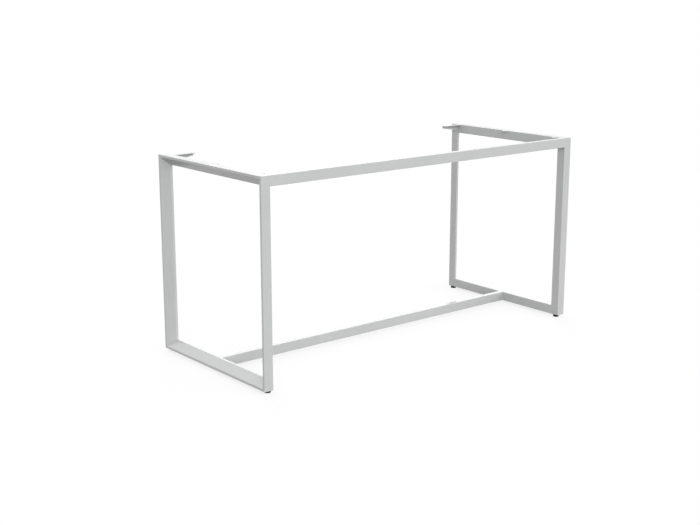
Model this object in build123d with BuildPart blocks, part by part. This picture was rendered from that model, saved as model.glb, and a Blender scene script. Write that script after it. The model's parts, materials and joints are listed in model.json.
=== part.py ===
"""Welded steel table base, in millimetres, standing on Z = 0 and centred on X and Y.

Two closed loop legs are mitred from a tube of blunt triangular section. A top rail joins them along the
front, a low stretcher joins their feet, and lugs and rear arms take the screws of a table top.
"""
import math
import os

from build123d import *

# The whole base, over its outer faces
base_length = 1446.0
base_depth = 615.0
loop_height = 700.0

# Leg tube: square, with the corner between its outer face and the loop's opening cut off at a slant
tube_size = 35.0
tube_nose = 8.5
tube_wall = 2.0
tube_corner = 1.0

# Cross tubes: the front rail and the stretcher
cross_depth = 20.0
cross_wall = 2.0
cross_corner = 1.0

# Screw fixings, set a little below the top of the frame so that screws pull a table top down tight
fixing_recess = 0.5
screw_hole = 5.5
lug_width = 18.0
lug_reach = 15.0
lug_thickness = 2.5
front_lug_inset = 50.0
mid_lug_inset = 310.0

# Rear arms: folded angles with a tapered web along their rear edge
arm_reach = 86.0
arm_width = 17.0
arm_sheet = 2.5
arm_bend = 1.5
arm_root_height = 25.5
arm_tip_height = 10.5
arm_tip_corner = 1.0
arm_inset = 31.5
arm_hole_inset = 12.0

# Push-in glides under the four corners
glide_height = 9.0
glide_diameter = 22.0
glide_edge = 0.8
glide_rim = 0.6
glide_side_inset = 24.0
glide_end_inset = 17.5
glide_hole = 10.0
glide_fit = 0.15
stem_length = 12.0
stem_fin = 2.4
stem_lead = 1.2

# Places that follow from the sizes above
left = -base_length / 2
front = -base_depth / 2
rear = base_depth / 2
loop_bottom = glide_height
loop_top = loop_bottom + loop_height
inner_face = left + tube_size
cross_length = base_length - 2 * tube_size
cross_height = tube_size
fixing_top = loop_top - fixing_recess
arm_rear = rear - arm_inset


def leg_tube(corner, along, length):
    """A mitred length of the left leg: it starts at an outer corner of the loop and runs the given way.

    In the section, X goes from the leg's outer face to its inner face, and Y from the outside of the
    loop towards its opening.
    """
    run = Vector(along)
    inward = run.cross(Vector(1, 0, 0))
    start = Vector(corner)
    with BuildPart() as tube:
        with BuildSketch(Plane(origin=start, x_dir=(1, 0, 0), z_dir=run)) as section:
            with BuildLine():
                Polyline(
                    (0, 0),
                    (tube_size, 0),
                    (tube_size, tube_size),
                    (tube_size - tube_nose, tube_size),
                    (0, tube_nose),
                    close=True,
                )
            blank = make_face()
            fillet(section.vertices(), radius=tube_corner)
            offset(blank, amount=-tube_wall, kind=Kind.INTERSECTION, mode=Mode.SUBTRACT)
        extrude(amount=length)
        split(bisect_by=Plane(origin=start, z_dir=run - inward), keep=Keep.TOP)
        split(bisect_by=Plane(origin=start + run * length, z_dir=-run - inward), keep=Keep.TOP)
    return tube.part


def cross_tube(centre_y, centre_z):
    """A plain rectangular tube from one leg's inner face to the other's."""
    end = Plane(origin=(inner_face, centre_y, centre_z), x_dir=(0, 1, 0), z_dir=(1, 0, 0))
    with BuildPart() as tube:
        with BuildSketch(end):
            RectangleRounded(cross_depth, cross_height, cross_corner)
            Rectangle(cross_depth - 2 * cross_wall, cross_height - 2 * cross_wall, mode=Mode.SUBTRACT)
        extrude(amount=cross_length)
    return tube.part


def fixing_lug(centre_y):
    """A round-ended lug with a screw hole, on the inner face of the left leg's top rail."""
    half = lug_width / 2
    straight = lug_reach - half
    with BuildPart() as lug:
        with BuildSketch(Plane(origin=(inner_face, centre_y, fixing_top - lug_thickness))):
            with BuildLine():
                ThreePointArc((straight, -half), (lug_reach, 0), (straight, half))
                Polyline((straight, half), (0, half), (0, -half), (straight, -half))
            make_face()
            with Locations((straight, 0)):
                Circle(screw_hole / 2, mode=Mode.SUBTRACT)
        extrude(amount=lug_thickness)
    return lug.part


def glide(centre_x, centre_y):
    """A moulded glide: a round head under the foot rail and a four-finned stem pushed into its hole."""
    head = glide_diameter / 2
    fin_span = 2 * math.sqrt((glide_hole / 2 - glide_fit) ** 2 - (stem_fin / 2) ** 2)
    half = Plane(origin=(centre_x, centre_y, 0), x_dir=(1, 0, 0), z_dir=(0, -1, 0))
    seat = Plane(origin=(centre_x, centre_y, glide_height))
    with BuildPart() as piece:
        with BuildSketch(half):
            with BuildLine():
                Polyline(
                    (0, 0),
                    (head - glide_edge, 0),
                    (head, glide_edge),
                    (head, glide_height - glide_rim),
                    (head - glide_rim, glide_height),
                    (0, glide_height),
                    close=True,
                )
            make_face()
        revolve(axis=Axis((centre_x, centre_y, 0), (0, 0, 1)))
        with BuildSketch(seat):
            Rectangle(fin_span, stem_fin)
            Rectangle(stem_fin, fin_span)
        extrude(amount=stem_length)
        fin_tips = piece.faces().sort_by(Axis.Z)[-1].edges().sort_by_distance(seat.origin)[-4:]
        chamfer(fin_tips, length=stem_lead)
    return piece.part


def mirrored(piece):
    """The same piece on the right-hand side of the base."""
    with BuildPart() as twin:
        mirror(piece, about=Plane.YZ)
    return twin.part


# Left leg: four lengths mitred into a closed loop
left_front_post = leg_tube((left, front, loop_bottom), (0, 0, 1), loop_height)
left_top_rail = leg_tube((left, front, loop_top), (0, 1, 0), base_depth)
left_rear_post = leg_tube((left, rear, loop_top), (0, 0, -1), loop_height)
plain_foot_rail = leg_tube((left, rear, loop_bottom), (0, -1, 0), base_depth)

# The foot rail has a hole in its underside for each glide
glide_x = left + glide_side_inset
glide_front_y = front + glide_end_inset
glide_rear_y = rear - glide_end_inset
with BuildPart() as left_foot_rail:
    add(plain_foot_rail)
    for glide_y in (glide_front_y, glide_rear_y):
        with Locations(Plane(origin=(glide_x, glide_y, loop_bottom), z_dir=(0, 0, -1))):
            Hole(radius=glide_hole / 2, depth=2 * tube_wall)

# Rear arm: an angle whose web is cut at a slant from its root to its tip
arm_root = Plane(origin=(inner_face, arm_rear, fixing_top), x_dir=(0, -1, 0), z_dir=(1, 0, 0))
with BuildPart() as left_rear_arm:
    with BuildSketch(arm_root) as angle:
        with BuildLine():
            Polyline(
                (0, 0),
                (arm_width, 0),
                (arm_width, arm_sheet),
                (arm_sheet, arm_sheet),
                (arm_sheet, arm_root_height),
                (0, arm_root_height),
                close=True,
            )
        make_face()
        fillet(angle.vertices().sort_by_distance((0, 0))[0], radius=arm_sheet + arm_bend)
        fillet(angle.vertices().sort_by_distance((arm_sheet, arm_sheet))[0], radius=arm_bend)
    extrude(amount=arm_reach)
    web_slope = (arm_root_height - arm_tip_height, 0, -arm_reach)
    web_edge = Plane(origin=(inner_face, arm_rear, fixing_top - arm_root_height), z_dir=web_slope)
    split(bisect_by=web_edge, keep=Keep.BOTTOM)
    tip_edges = left_rear_arm.edges().filter_by(Axis.Z).group_by(Axis.X)[-1]
    fillet(tip_edges.sort_by(Axis.Y)[0], radius=arm_tip_corner)
    hole_x = inner_face + arm_reach - arm_hole_inset
    hole_y = arm_rear - (arm_width + arm_sheet) / 2
    with Locations((hole_x, hole_y, fixing_top)):
        Hole(radius=screw_hole / 2, depth=2 * arm_sheet)

# Pieces of the left side, each with a twin on the right
sided_pieces = {
    "front_post": left_front_post,
    "top_rail": left_top_rail,
    "rear_post": left_rear_post,
    "foot_rail": left_foot_rail.part,
    "front_lug": fixing_lug(front + front_lug_inset),
    "mid_lug": fixing_lug(front + mid_lug_inset),
    "rear_arm": left_rear_arm.part,
    "front_glide": glide(glide_x, glide_front_y),
    "rear_glide": glide(glide_x, glide_rear_y),
}
pieces = {
    "front_rail": cross_tube(front + cross_depth / 2, loop_top - cross_height / 2),
    "stretcher": cross_tube((front + rear) / 2, loop_bottom + cross_height / 2),
}
for name, piece in sided_pieces.items():
    pieces[f"left_{name}"] = piece
    pieces[f"right_{name}"] = mirrored(piece)

os.makedirs("parts", exist_ok=True)
for name, piece in pieces.items():
    piece.label = name
    export_step(piece, f"parts/{name}.step")
print(len(pieces), "pieces, floor to top", loop_top, "mm")
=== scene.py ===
# %% [markdown]
# A welded table base, dressed for its picture
#
# The real object is the steel base of a desk: two loop legs mitred from a blunt triangular tube, a rail
# along the front, a low stretcher, screw lugs, two rear arms and four black glides. Its shape is already
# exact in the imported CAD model, so this lesson keeps every solid where it is and adds what CAD leaves out:
# the welds, the finish of the paint, the grain of the plastic, and a plain white studio.

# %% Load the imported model
import itertools
import json
import math

import bpy
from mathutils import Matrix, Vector


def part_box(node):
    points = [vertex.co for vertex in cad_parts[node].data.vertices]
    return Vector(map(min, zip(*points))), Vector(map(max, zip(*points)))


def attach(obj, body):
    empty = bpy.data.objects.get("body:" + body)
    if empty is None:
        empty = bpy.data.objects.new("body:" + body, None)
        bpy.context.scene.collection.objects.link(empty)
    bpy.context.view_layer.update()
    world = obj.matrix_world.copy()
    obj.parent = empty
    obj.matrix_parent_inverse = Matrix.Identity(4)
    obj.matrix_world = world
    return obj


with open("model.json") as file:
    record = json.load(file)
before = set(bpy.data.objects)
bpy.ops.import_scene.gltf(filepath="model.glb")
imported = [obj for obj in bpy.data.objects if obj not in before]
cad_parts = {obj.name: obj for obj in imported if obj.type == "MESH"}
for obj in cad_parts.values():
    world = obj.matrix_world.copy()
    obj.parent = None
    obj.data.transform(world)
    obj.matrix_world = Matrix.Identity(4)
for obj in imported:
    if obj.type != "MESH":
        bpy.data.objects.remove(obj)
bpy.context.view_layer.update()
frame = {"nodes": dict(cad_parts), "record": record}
scene = bpy.context.scene
MM = 0.001

# %% [markdown]
# The camera comes first, because every later choice is judged through it. Its place could be found by eye,
# but the photograph shows many straight edges of known direction, and those fix the place, the aim and the
# focal length together. It stands in front of the left leg, a little over four metres from the middle of
# the base, with a short telephoto lens and no shift. It has to see as far as the edge of a very wide floor.

# %% Camera
camera_place = Vector((-2.78216, -3.25530, 1.29733))
camera_forward = Vector((0.61600, 0.75245, -0.23315))
camera_lens = 60.7476
sensor_width = 36.0
view_reach = 400.0

camera_data = bpy.data.cameras.new("photo_camera")
camera_data.lens = camera_lens
camera_data.sensor_width = sensor_width
camera_data.clip_end = view_reach
camera = bpy.data.objects.new("photo_camera", camera_data)
camera.location = camera_place
camera.rotation_mode = "QUATERNION"
camera.rotation_quaternion = camera_forward.to_track_quat("-Z", "Y")
scene.collection.objects.link(camera)
scene.camera = camera
elevation = math.degrees(math.asin(-camera_forward.normalized().z))
print("camera looks down by", round(elevation, 2), "degrees")

# %% [markdown]
# The studio is one white room without corners. Real product pictures are taken on white paper under large
# soft lamps. A white world could light the base by itself, but then every face would look equally pale.
# So the world is white only where the camera, a reflection or a clear material looks at it, and weaker as a
# source of light. Light Path tells these rays apart.

# %% White world
world_light = 0.755


def add_node(tree, kind, **settings):
    """A new node with its properties set."""
    node = tree.nodes.new(kind)
    for name, value in settings.items():
        setattr(node, name, value)
    return node


def grey(level):
    """A colour without hue."""
    return (level, level, level, 1.0)


def looking_ray(tree):
    """A value of 1 for rays that look at a surface: camera, glossy and transmission rays."""
    path = add_node(tree, "ShaderNodeLightPath")
    first = add_node(tree, "ShaderNodeMath", operation="MAXIMUM")
    second = add_node(tree, "ShaderNodeMath", operation="MAXIMUM")
    tree.links.new(path.outputs["Is Camera Ray"], first.inputs[0])
    tree.links.new(path.outputs["Is Glossy Ray"], first.inputs[1])
    tree.links.new(first.outputs[0], second.inputs[0])
    tree.links.new(path.outputs["Is Transmission Ray"], second.inputs[1])
    return second.outputs[0]


world = bpy.data.worlds.new("white_room")
world.use_nodes = True
scene.world = world
room = world.node_tree
room.nodes.clear()
room_light = add_node(room, "ShaderNodeBackground")
room_light.inputs["Strength"].default_value = world_light
room_white = add_node(room, "ShaderNodeBackground")
for background in (room_light, room_white):
    background.inputs["Color"].default_value = grey(1.0)
room_mix = add_node(room, "ShaderNodeMixShader")
room_out = add_node(room, "ShaderNodeOutputWorld")
room.links.new(looking_ray(room), room_mix.inputs["Fac"])
room.links.new(room_light.outputs[0], room_mix.inputs[1])
room.links.new(room_white.outputs[0], room_mix.inputs[2])
room.links.new(room_mix.outputs[0], room_out.inputs["Surface"])
scene.view_settings.view_transform = "Standard"
print("world gives", world_light, "of white as light")

# %% [markdown]
# Four lamps stand for the studio's soft boxes. Area lamps would be the obvious choice, but their light falls
# off with distance and would leave the far floor grey. A sun lamp with a wide angle is just as soft, and it
# is even all over. Two stand in front, one on each side, so that the front faces are the palest upright
# ones and the faces that look left stay a step darker. Two stand behind: at a flat angle even paint is a
# mirror, so they whiten the tops, and where a post hides them its image shows, as in the photograph. The
# front lamps stay out of mirror images, or the tops would glare when they are seen from behind.

# %% Soft lamps


def soft_lamp(name, towards, light, spread, mirrored):
    """A wide sun lamp. Light is what a square-on face gets, as a share of white; spread is in degrees."""
    data = bpy.data.lights.new(name, "SUN")
    data.energy = light * math.pi
    data.angle = math.radians(spread)
    lamp = bpy.data.objects.new(name, data)
    lamp.rotation_mode = "QUATERNION"
    lamp.rotation_quaternion = Vector(towards).to_track_quat("Z", "Y")
    lamp.visible_glossy = mirrored
    scene.collection.objects.link(lamp)
    return lamp


lamps = [
    soft_lamp("front_right_lamp", (0.50, -0.80, 0.33), light=0.33, spread=40.0, mirrored=False),
    soft_lamp("front_left_lamp", (-0.55, -0.78, 0.40), light=0.365, spread=40.0, mirrored=False),
    soft_lamp("rear_high_lamp", (0.10, 0.75, 0.65), light=0.29, spread=60.0, mirrored=True),
    soft_lamp("rear_right_lamp", (0.57, 0.69, 0.445), light=0.11, spread=35.0, mirrored=True),
]
print("lamps:", [lamp.name for lamp in lamps])

# %% [markdown]
# The floor is plain paper. For a looking ray it is white with the soft shadow of the base on it, partly lit
# and mostly glowing, so that the shadow stays faint. For light that bounces it is a darker grey, so that the
# undersides of the rails keep their shade. From below it is clear, so the undersides can be looked at.

# %% Paper
seen_albedo = 0.83
bounce_albedo = 0.135
glow_share = 0.8

paper = bpy.data.materials.new("white_paper")
paper.use_nodes = True
sheet = paper.node_tree
sheet.nodes.clear()
seen = add_node(sheet, "ShaderNodeBsdfDiffuse")
seen.inputs["Color"].default_value = grey(seen_albedo)
glow = add_node(sheet, "ShaderNodeEmission")
bounce = add_node(sheet, "ShaderNodeBsdfDiffuse")
bounce.inputs["Color"].default_value = grey(bounce_albedo)
clear = add_node(sheet, "ShaderNodeBsdfTransparent")
geometry = add_node(sheet, "ShaderNodeNewGeometry")
seen_mix = add_node(sheet, "ShaderNodeMixShader")
seen_mix.inputs["Fac"].default_value = glow_share
ray_mix = add_node(sheet, "ShaderNodeMixShader")
side_mix = add_node(sheet, "ShaderNodeMixShader")
paper_out = add_node(sheet, "ShaderNodeOutputMaterial")
sheet.links.new(seen.outputs[0], seen_mix.inputs[1])
sheet.links.new(glow.outputs[0], seen_mix.inputs[2])
sheet.links.new(looking_ray(sheet), ray_mix.inputs["Fac"])
sheet.links.new(bounce.outputs[0], ray_mix.inputs[1])
sheet.links.new(seen_mix.outputs[0], ray_mix.inputs[2])
sheet.links.new(geometry.outputs["Backfacing"], side_mix.inputs["Fac"])
sheet.links.new(ray_mix.outputs[0], side_mix.inputs[1])
sheet.links.new(clear.outputs[0], side_mix.inputs[2])
sheet.links.new(side_mix.outputs[0], paper_out.inputs["Surface"])
print("paper glows by", glow_share, "and bounces", bounce_albedo, "of its light")

# %% [markdown]
# In a studio the paper curves up behind the object. Here the world behind is as white as the paper, so one
# flat square is enough, so wide that its edge lies at the horizon.

# %% Floor
floor_half = 150.0

floor_mesh = bpy.data.meshes.new("paper_floor")
floor_corners = [(x * floor_half, y * floor_half, 0.0) for x, y in ((-1, -1), (1, -1), (1, 1), (-1, 1))]
floor_mesh.from_pydata(floor_corners, [], [(0, 1, 2, 3)])
floor_mesh.materials.append(paper)
floor = bpy.data.objects.new("paper_floor", floor_mesh)
scene.collection.objects.link(floor)
print("floor:", 2 * floor_half, "m square")

# %% [markdown]
# Paint and plastic share one effect, a fine grain: powder paint melts into a slightly pebbled skin, and a
# moulded glide copies the eroded surface of its mould. Each material could have its own noise nodes, but a
# node group keeps the effect in one place. It reads Object coordinates, which here are metres of the real
# object, so a grain size is a true length.

# %% Fine grain node group
plain_detail = 1.0
rough_detail = 2.0
specks_per_grain = 2.5
grain_inputs = {"Grain Size": 1 * MM, "Cloud Size": 100 * MM}
grain_effects = ("Height", "Speckle", "Cloud")

grain = bpy.data.node_groups.new("fine_grain", "ShaderNodeTree")
for name, start in grain_inputs.items():
    socket = grain.interface.new_socket(name, in_out="INPUT", socket_type="NodeSocketFloat")
    socket.default_value = start
for name in grain_effects:
    grain.interface.new_socket(name, in_out="OUTPUT", socket_type="NodeSocketFloat")
grain_in = add_node(grain, "NodeGroupInput")
grain_out = add_node(grain, "NodeGroupOutput")
grain_place = add_node(grain, "ShaderNodeTexCoord")


def grain_noise(size_name, detail, finer=1.0):
    """Noise whose blobs have the size on the named input, or a part of it."""
    per_metre = add_node(grain, "ShaderNodeMath", operation="DIVIDE")
    per_metre.inputs[0].default_value = finer
    grain.links.new(grain_in.outputs[size_name], per_metre.inputs[1])
    noise = add_node(grain, "ShaderNodeTexNoise")
    noise.inputs["Detail"].default_value = detail
    grain.links.new(grain_place.outputs["Object"], noise.inputs["Vector"])
    grain.links.new(per_metre.outputs[0], noise.inputs["Scale"])
    return noise.outputs["Fac"]


grain.links.new(grain_noise("Grain Size", plain_detail), grain_out.inputs["Height"])
grain.links.new(grain_noise("Grain Size", rough_detail, specks_per_grain), grain_out.inputs["Speckle"])
grain.links.new(grain_noise("Cloud Size", rough_detail), grain_out.inputs["Cloud"])
print("node group", grain.name, "gives", grain_effects)

# %% [markdown]
# Both finishes are put together in the same way, so three helpers come first. One makes a material with the
# grain as its bump. One stretches a noise over a wanted range; a Color Ramp could do that as well, but Map
# Range takes plain numbers. One mixes two tones of a colour.

# %% Helpers for grained finishes
noise_middle = (0.3, 0.7)


def grained_material(name, grain_size, cloud_size, skin_height):
    """A material with the fine grain in place: returns it with its tree, its shader and the group's node."""
    material = bpy.data.materials.new(name)
    material.use_nodes = True
    tree = material.node_tree
    shader = tree.nodes["Principled BSDF"]
    group = add_node(tree, "ShaderNodeGroup", node_tree=grain)
    group.inputs["Grain Size"].default_value = grain_size
    group.inputs["Cloud Size"].default_value = cloud_size
    bump = add_node(tree, "ShaderNodeBump")
    bump.inputs["Distance"].default_value = skin_height
    tree.links.new(group.outputs["Height"], bump.inputs["Height"])
    tree.links.new(bump.outputs["Normal"], shader.inputs["Normal"])
    return material, tree, shader, group


def ranged(tree, value, low, high, ends=noise_middle):
    """Noise stays near one half, so its middle part is stretched over the wanted range."""
    stretch = add_node(tree, "ShaderNodeMapRange")
    stretch.inputs["From Min"].default_value = ends[0]
    stretch.inputs["From Max"].default_value = ends[1]
    stretch.inputs["To Min"].default_value = low
    stretch.inputs["To Max"].default_value = high
    tree.links.new(value, stretch.inputs["Value"])
    return stretch.outputs["Result"]


def tinted(tree, share, dark, light):
    """A colour between two tones, by a share from 0 to 1."""
    mix = add_node(tree, "ShaderNodeMix", data_type="RGBA")
    tree.links.new(share, mix.inputs["Factor"])
    tones = [socket for socket in mix.inputs if socket.type == "RGBA"]
    tones[0].default_value = dark
    tones[1].default_value = light
    return next(socket for socket in mix.outputs if socket.type == "RGBA")


print("noise is stretched from", noise_middle)

# %% [markdown]
# The frame is powder coated in a light grey, between satin and gloss: in the photograph the tops mirror the
# posts behind them. The paint is a dielectric, not bare metal, so Metallic stays at zero and the gloss comes
# from a low Roughness, with an IOR a little under that of clear lacquer. A single flat grey would look like
# plaster. Real powder paint has a pebbled skin about a millimetre across, tiny specks where the pigment
# shows, and slow changes of gloss where the film is thicker. The bump makes the skin, the specks and clouds
# tint the colour by a few parts in a hundred, and the clouds also change the roughness.

# %% Satin powder coat
coat_dark = (0.535, 0.545, 0.540, 1.0)
coat_light = (0.580, 0.591, 0.586, 1.0)
coat_grain_size = 1.3 * MM
coat_cloud_size = 90 * MM
coat_skin_height = 0.035 * MM
coat_gloss = (0.13, 0.19)
coat_ior = 1.38
half_tint = 0.5

powder_coat, coat_tree, coat_shader, coat_grain = grained_material(
    "satin_powder_coat", coat_grain_size, coat_cloud_size, coat_skin_height
)
coat_shader.inputs["IOR"].default_value = coat_ior
coat_specks = ranged(coat_tree, coat_grain.outputs["Speckle"], 0.0, half_tint)
coat_clouds = ranged(coat_tree, coat_grain.outputs["Cloud"], 0.0, half_tint)
coat_tint = add_node(coat_tree, "ShaderNodeMath", operation="ADD")
coat_tree.links.new(coat_specks, coat_tint.inputs[0])
coat_tree.links.new(coat_clouds, coat_tint.inputs[1])
coat_colour = tinted(coat_tree, coat_tint.outputs[0], coat_dark, coat_light)
coat_tree.links.new(coat_colour, coat_shader.inputs["Base Color"])
coat_roughness = ranged(coat_tree, coat_grain.outputs["Cloud"], *coat_gloss)
coat_tree.links.new(coat_roughness, coat_shader.inputs["Roughness"])
print("paint grain", coat_grain_size / MM, "mm, roughness", coat_gloss)

# %% [markdown]
# The glides are moulded from black plastic with a fine matt grain, duller than paint, so its mirror share is
# set low. Where they rub on a floor, the lowest edge turns paler. That wear could be painted by hand, but the
# height above the floor is already in the Object coordinates, so a short ramp of Z, broken up by the grain's
# slow clouds, puts it where it belongs.

# %% Matt black glide plastic
glide_black = (0.012, 0.012, 0.013, 1.0)
glide_scuffed = (0.035, 0.0345, 0.034, 1.0)
glide_grain_size = 0.35 * MM
glide_cloud_size = 6 * MM
glide_skin_height = 0.02 * MM
glide_gloss = (0.5, 0.66)
glide_mirror_share = 0.2
scuff_height = 1.2 * MM
scuff_patches = (0.15, 0.9)

glide_plastic, glide_tree, glide_shader, glide_grain = grained_material(
    "matt_black_plastic", glide_grain_size, glide_cloud_size, glide_skin_height
)
glide_shader.inputs["Specular IOR Level"].default_value = glide_mirror_share
glide_place = add_node(glide_tree, "ShaderNodeTexCoord")
glide_axes = add_node(glide_tree, "ShaderNodeSeparateXYZ")
glide_tree.links.new(glide_place.outputs["Object"], glide_axes.inputs[0])
near_floor = ranged(glide_tree, glide_axes.outputs["Z"], 1.0, 0.0, ends=(0.0, scuff_height))
patches = ranged(glide_tree, glide_grain.outputs["Cloud"], *scuff_patches)
scuffed = add_node(glide_tree, "ShaderNodeMath", operation="MULTIPLY")
glide_tree.links.new(near_floor, scuffed.inputs[0])
glide_tree.links.new(patches, scuffed.inputs[1])
glide_colour = tinted(glide_tree, scuffed.outputs[0], glide_black, glide_scuffed)
glide_tree.links.new(glide_colour, glide_shader.inputs["Base Color"])
glide_roughness = ranged(glide_tree, glide_grain.outputs["Speckle"], *glide_gloss)
glide_tree.links.new(glide_roughness, glide_shader.inputs["Roughness"])
print("glide wear reaches", scuff_height / MM, "mm up")

# %% [markdown]
# The CAD solids keep their meshes and only change their material. The record says which slot each node takes
# its finish from, so a loop over it is safer than a list of names written out again.

# %% Finishes on the CAD solids
finishes = {"powder_coat": powder_coat, "glide_plastic": glide_plastic}
for subpart in frame["record"]["subparts"]:
    solid = frame["nodes"][subpart["node"]]
    solid.data.materials.clear()
    solid.data.materials.append(finishes[subpart["material_slot"]])

# %% [markdown]
# Welds hold the base together. Where they would be seen they are ground flush, and in the hidden corners,
# under the lugs and arms and behind the rail, a welder leaves the bead as it was laid: a thin rounded string
# with a ripple for each pulse. Every bead follows a path, so one Geometry Nodes tree makes them all. Small
# spheres in a row would look alike but leave walls inside each other. The sizes are named inputs of the
# tree, so that it can also make a smooth fillet or a flat strip.

# %% Weld bead tree: inputs
bead_sizes = {
    "Bead Radius": 2 * MM,
    "Flatness": 1.0,
    "Corner Radius": 2 * MM,
    "Ripple Pitch": 1.3 * MM,
    "Ripple Depth": 0.12,
    "Unevenness": 0.2,
}
bead_tree = bpy.data.node_groups.new("weld_bead", "GeometryNodeTree")
bead_tree.interface.new_socket("Geometry", in_out="INPUT", socket_type="NodeSocketGeometry")
for name, start in bead_sizes.items():
    socket = bead_tree.interface.new_socket(name, in_out="INPUT", socket_type="NodeSocketFloat")
    socket.default_value = start
bead_tree.interface.new_socket("Finish", in_out="INPUT", socket_type="NodeSocketMaterial")
bead_tree.interface.new_socket("Geometry", in_out="OUTPUT", socket_type="NodeSocketGeometry")
given = add_node(bead_tree, "NodeGroupInput").outputs
print("tree", bead_tree.name, "takes", [socket.name for socket in given if socket.name])

# %% [markdown]
# A laid bead isn't even. A sine without its sign gives one hump for each pulse, noise at the point's place
# stands for the welder's unsteady hand, and near both ends the bead fades out. All this could be painted
# point by point, but Spline Parameter knows how far along its path each point is, so a rule can do it.

# %% Weld bead tree: size along the path
hand_per_metre = 180.0
noise_mean = 0.5
end_share = 0.35


def math_of(operation, first, second=0.0):
    """A Math node of the bead tree; each side is a socket or a number."""
    node = add_node(bead_tree, "ShaderNodeMath", operation=operation)
    for value, socket in zip((first, second), node.inputs):
        if isinstance(value, float):
            socket.default_value = value
        else:
            bead_tree.links.new(value, socket)
    return node.outputs[0]


along = add_node(bead_tree, "GeometryNodeSplineParameter").outputs["Length"]
whole = add_node(bead_tree, "GeometryNodeSplineLength").outputs["Length"]
pulses = math_of("DIVIDE", along, given["Ripple Pitch"])
wave = math_of("SINE", math_of("MULTIPLY", pulses, math.pi))
valley = math_of("SUBTRACT", 1.0, math_of("ABSOLUTE", wave))
ripple = math_of("SUBTRACT", 1.0, math_of("MULTIPLY", valley, given["Ripple Depth"]))
hand = add_node(bead_tree, "ShaderNodeTexNoise")
hand.inputs["Scale"].default_value = hand_per_metre
hand_place = add_node(bead_tree, "GeometryNodeInputPosition")
bead_tree.links.new(hand_place.outputs[0], hand.inputs["Vector"])
off_mean = math_of("SUBTRACT", hand.outputs["Fac"], noise_mean)
wander = math_of("MULTIPLY", off_mean, given["Unevenness"])
to_end = math_of("MINIMUM", along, math_of("SUBTRACT", whole, along))
fade = add_node(bead_tree, "ShaderNodeMapRange", interpolation_type="SMOOTHSTEP")
fade.inputs["To Min"].default_value = end_share
bead_tree.links.new(to_end, fade.inputs["Value"])
bead_tree.links.new(given["Bead Radius"], fade.inputs["From Max"])
size = math_of("MULTIPLY", math_of("ADD", ripple, wander), fade.outputs["Result"])
print("a bead fades to", end_share, "of its size at its ends")

# %% [markdown]
# Then comes the sweep. Fillet Curve rounds the path's corners, Resample Curve walks along it in small steps,
# and Curve to Mesh carries a circle, pressed flat or not, that is scaled by the size. A bevel on the curve
# would sweep too, but its size can't follow a rule. The tree ends in Realize Instances and Set Material,
# because the export keeps only real faces that have a finish.

# %% Weld bead tree: sweep
steps_per_ripple = 4.0
corner_steps = 4
bead_sides = 12

rounded = add_node(bead_tree, "GeometryNodeFilletCurve", mode="POLY")
rounded.inputs["Count"].default_value = corner_steps
rounded.inputs["Limit Radius"].default_value = True
walked = add_node(bead_tree, "GeometryNodeResampleCurve", mode="LENGTH")
step = math_of("DIVIDE", given["Ripple Pitch"], steps_per_ripple)
ring = add_node(bead_tree, "GeometryNodeCurvePrimitiveCircle")
ring.inputs["Resolution"].default_value = bead_sides
pressed = add_node(bead_tree, "GeometryNodeTransform")
pressed_scale = add_node(bead_tree, "ShaderNodeCombineXYZ")
pressed_scale.inputs["X"].default_value = 1.0
pressed_scale.inputs["Z"].default_value = 1.0
swept = add_node(bead_tree, "GeometryNodeCurveToMesh")
swept.inputs["Fill Caps"].default_value = True
smooth = add_node(bead_tree, "GeometryNodeSetShadeSmooth")
real = add_node(bead_tree, "GeometryNodeRealizeInstances")
painted = add_node(bead_tree, "GeometryNodeSetMaterial")
bead_out = add_node(bead_tree, "NodeGroupOutput")
for source, target in (
    (given["Geometry"], rounded.inputs["Curve"]),
    (given["Corner Radius"], rounded.inputs["Radius"]),
    (rounded.outputs["Curve"], walked.inputs["Curve"]),
    (step, walked.inputs["Length"]),
    (walked.outputs["Curve"], swept.inputs["Curve"]),
    (given["Bead Radius"], ring.inputs["Radius"]),
    (ring.outputs["Curve"], pressed.inputs["Geometry"]),
    (given["Flatness"], pressed_scale.inputs["Y"]),
    (pressed_scale.outputs[0], pressed.inputs["Scale"]),
    (pressed.outputs["Geometry"], swept.inputs["Profile Curve"]),
    (size, swept.inputs["Scale"]),
    (swept.outputs["Mesh"], smooth.inputs["Geometry"]),
    (smooth.outputs["Geometry"], real.inputs["Geometry"]),
    (real.outputs["Geometry"], painted.inputs["Geometry"]),
    (given["Finish"], painted.inputs["Material"]),
    (painted.outputs["Geometry"], bead_out.inputs["Geometry"]),
):
    bead_tree.links.new(source, target)
print("tree", bead_tree.name, "has", len(bead_tree.nodes), "nodes")

# %% [markdown]
# A path is a plain poly curve. The modifier's inputs are found by name once and set by identifier, before
# anything is evaluated. Then the evaluated result becomes an ordinary mesh, and the curve that carried it is
# thrown away, so no modifier is left on the finished piece.

# %% Turn paths into beads
bead_inputs = {
    item.name: item.identifier for item in bead_tree.interface.items_tree if item.in_out == "INPUT"
}
print("modifier inputs:", bead_inputs)


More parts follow.
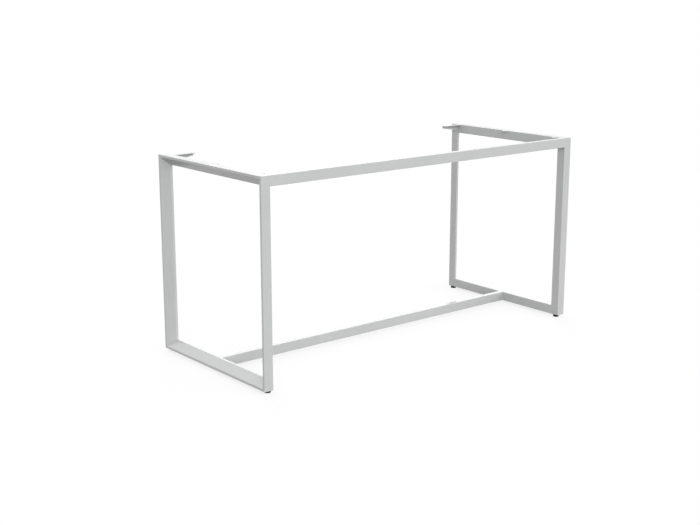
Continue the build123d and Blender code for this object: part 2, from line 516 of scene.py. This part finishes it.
def lay_beads(name, paths, settings):
    """Make one mesh with a bead along each path, riding on the base."""
    curve = bpy.data.curves.new(name + "_paths", "CURVE")
    curve.dimensions = "3D"
    for path in paths:
        spline = curve.splines.new("POLY")
        spline.points.add(len(path) - 1)
        for point, corner in zip(spline.points, path):
            point.co = (*corner, 1.0)
    carrier = bpy.data.objects.new(name + "_paths", curve)
    scene.collection.objects.link(carrier)
    beads = carrier.modifiers.new("beads", "NODES")
    beads.node_group = bead_tree
    for setting, value in settings.items():
        beads[bead_inputs[setting]] = value
    depsgraph = bpy.context.evaluated_depsgraph_get()
    mesh = bpy.data.meshes.new_from_object(carrier.evaluated_get(depsgraph), depsgraph=depsgraph)
    mesh.name = name
    bpy.data.objects.remove(carrier)
    piece = bpy.data.objects.new(name, mesh)
    scene.collection.objects.link(piece)
    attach(piece, "root")
    print(name, "has", len(paths), "beads and", len(mesh.polygons), "faces")


# %% [markdown]
# The beads lie in corners between two pieces, and the box of each CAD node says where those corners are, so
# nothing is measured twice. A bead stops a little short of the edges of its joint, as a welder does to keep
# the edge whole. Both sides of the base are alike, so each path is written for one side and mirrored. The
# front rail has a bead under its end, round the rear edge and up. The stretcher has one on each upright edge.

# %% Beads of the front rail and the stretcher
edge_gap = 2.5 * MM
rail_bead = 1.8 * MM


def both_sides(path):
    """A path on the right-hand side of the base and its mirror image on the left."""
    return [path, [(-x, y, z) for x, y, z in path]]


rail_low, rail_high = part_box("front_rail")
cross_low, cross_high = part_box("stretcher")
inner_x = cross_high.x
bead_paths = both_sides(
    [
        (inner_x, rail_low.y + edge_gap, rail_low.z),
        (inner_x, rail_high.y, rail_low.z),
        (inner_x, rail_high.y, rail_high.z - edge_gap),
    ]
)
for face_y in (cross_low.y, cross_high.y):
    bead_paths += both_sides(
        [(inner_x, face_y, cross_low.z + edge_gap), (inner_x, face_y, cross_high.z - edge_gap)]
    )
lay_beads("weld_beads", bead_paths, {"Bead Radius": rail_bead, "Finish": powder_coat})

# %% [markdown]
# A lug is a thin tab, so its bead is the slimmest. It lies along the root, underneath, where it can't lift
# the table top that the lug is screwed to.

# %% Beads of the lugs
lug_bead = 1.3 * MM

lug_paths = []
for lug in ("right_front_lug", "right_mid_lug"):
    lug_low, lug_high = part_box(lug)
    lug_paths += both_sides(
        [(inner_x, lug_low.y + edge_gap, lug_low.z), (inner_x, lug_high.y - edge_gap, lug_low.z)]
    )
lay_beads("lug_beads", lug_paths, {"Bead Radius": lug_bead, "Finish": powder_coat})

# %% [markdown]
# A rear arm reaches much further than a lug and pulls harder at its root, so its beads are the thickest. One
# runs under the plate and down the inside of the web, and a second one down the web's back.

# %% Beads of the rear arms
arm_bead = 2.2 * MM
arm_sheet = 2.5 * MM

arm_low, arm_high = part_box("right_rear_arm")
plate_z = arm_high.z - arm_sheet
web_y = arm_high.y - arm_sheet
arm_paths = both_sides(
    [
        (inner_x, arm_low.y + edge_gap, plate_z),
        (inner_x, web_y, plate_z),
        (inner_x, web_y, arm_low.z + edge_gap),
    ]
)
arm_paths += both_sides(
    [(inner_x, arm_high.y, arm_high.z - 2 * edge_gap), (inner_x, arm_high.y, arm_low.z + edge_gap)]
)
lay_beads("arm_beads", arm_paths, {"Bead Radius": arm_bead, "Finish": powder_coat})

# %% [markdown]
# The mitres of the loops are welded all round and then dressed with a grinder. On the flat sides a seam
# remains that stands a few hundredths of a millimetre proud, and in the inside corner a small smooth fillet.
# The same tree makes both, with no ripple: for the flat seam the circle is sunk into the tube, so that only
# the top of its curve comes through the face.

# %% Dressed mitre seams
seam_radius = 2.0 * MM
seam_proud = 0.06 * MM
fillet_radius = 0.9 * MM
tube_nose = 8.5 * MM
smooth_bead = {"Ripple Pitch": 4 * MM, "Ripple Depth": 0.0, "Unevenness": 0.03, "Finish": powder_coat}

post_low, post_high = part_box("right_front_post")
rear_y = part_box("right_rear_post")[1].y
tube = post_high.x - post_low.x
outer_x = post_high.x
sunk = seam_radius - seam_proud


def on_mitre(corner, x, depth):
    """A point of a loop corner's mitre plane, at a depth from both outer faces of the loop."""
    (corner_y, way_y), (corner_z, way_z) = corner
    return (x, corner_y + way_y * depth, corner_z + way_z * depth)


seam_paths = []
fillet_paths = []
loop_ends = ((post_low.y, 1.0), (rear_y, -1.0))
loop_levels = ((post_low.z, 1.0), (post_high.z, -1.0))
for corner in itertools.product(loop_ends, loop_levels):
    for seam_x, face_width in ((inner_x + sunk, tube), (outer_x - sunk, tube_nose)):
        seam_paths += both_sides(
            [on_mitre(corner, seam_x, edge_gap), on_mitre(corner, seam_x, face_width - edge_gap)]
        )
    fillet_paths += both_sides(
        [
            on_mitre(corner, inner_x + edge_gap, tube),
            on_mitre(corner, inner_x + tube_nose, tube),
            on_mitre(corner, outer_x - edge_gap, tube_nose + edge_gap),
        ]
    )
lay_beads("mitre_seams", seam_paths, {**smooth_bead, "Bead Radius": seam_radius})
lay_beads("mitre_fillets", fillet_paths, {**smooth_bead, "Bead Radius": fillet_radius})

# %% [markdown]
# Where the front rail and the stretcher meet the legs, the tube's rounded edge leaves a groove one
# millimetre wide. On the real base it is filled with weld and ground flush, so that the faces run on
# without a line. The same tree fills it with a flat, slightly crowned strip. Its path starts level on the
# top and then runs down the front, because on a level start the strip is sure to lie flat.

# %% Joints ground flush
strip_half = 2.0 * MM
strip_flatness = 0.15
strip_proud = 0.01 * MM
strip_bend = 0.7 * MM
strip_pitch = 1.2 * MM
groove_offset = 0.35 * MM

groove_middle = inner_x + groove_offset
strip_sunk = strip_half * strip_flatness - strip_proud
strip_front = rail_low.y + strip_sunk
strip_top = rail_high.z - strip_sunk
foot_top = cross_high.z - strip_sunk
strip_paths = both_sides(
    [
        (groove_middle, rail_high.y, strip_top),
        (groove_middle, strip_front, strip_top),
        (groove_middle, strip_front, rail_low.z),
    ]
)
strip_paths += both_sides([(groove_middle, cross_low.y, foot_top), (groove_middle, cross_high.y, foot_top)])
strip_settings = {
    **smooth_bead,
    "Bead Radius": strip_half,
    "Flatness": strip_flatness,
    "Corner Radius": strip_bend,
    "Ripple Pitch": strip_pitch,
}
lay_beads("flush_strips", strip_paths, strip_settings)
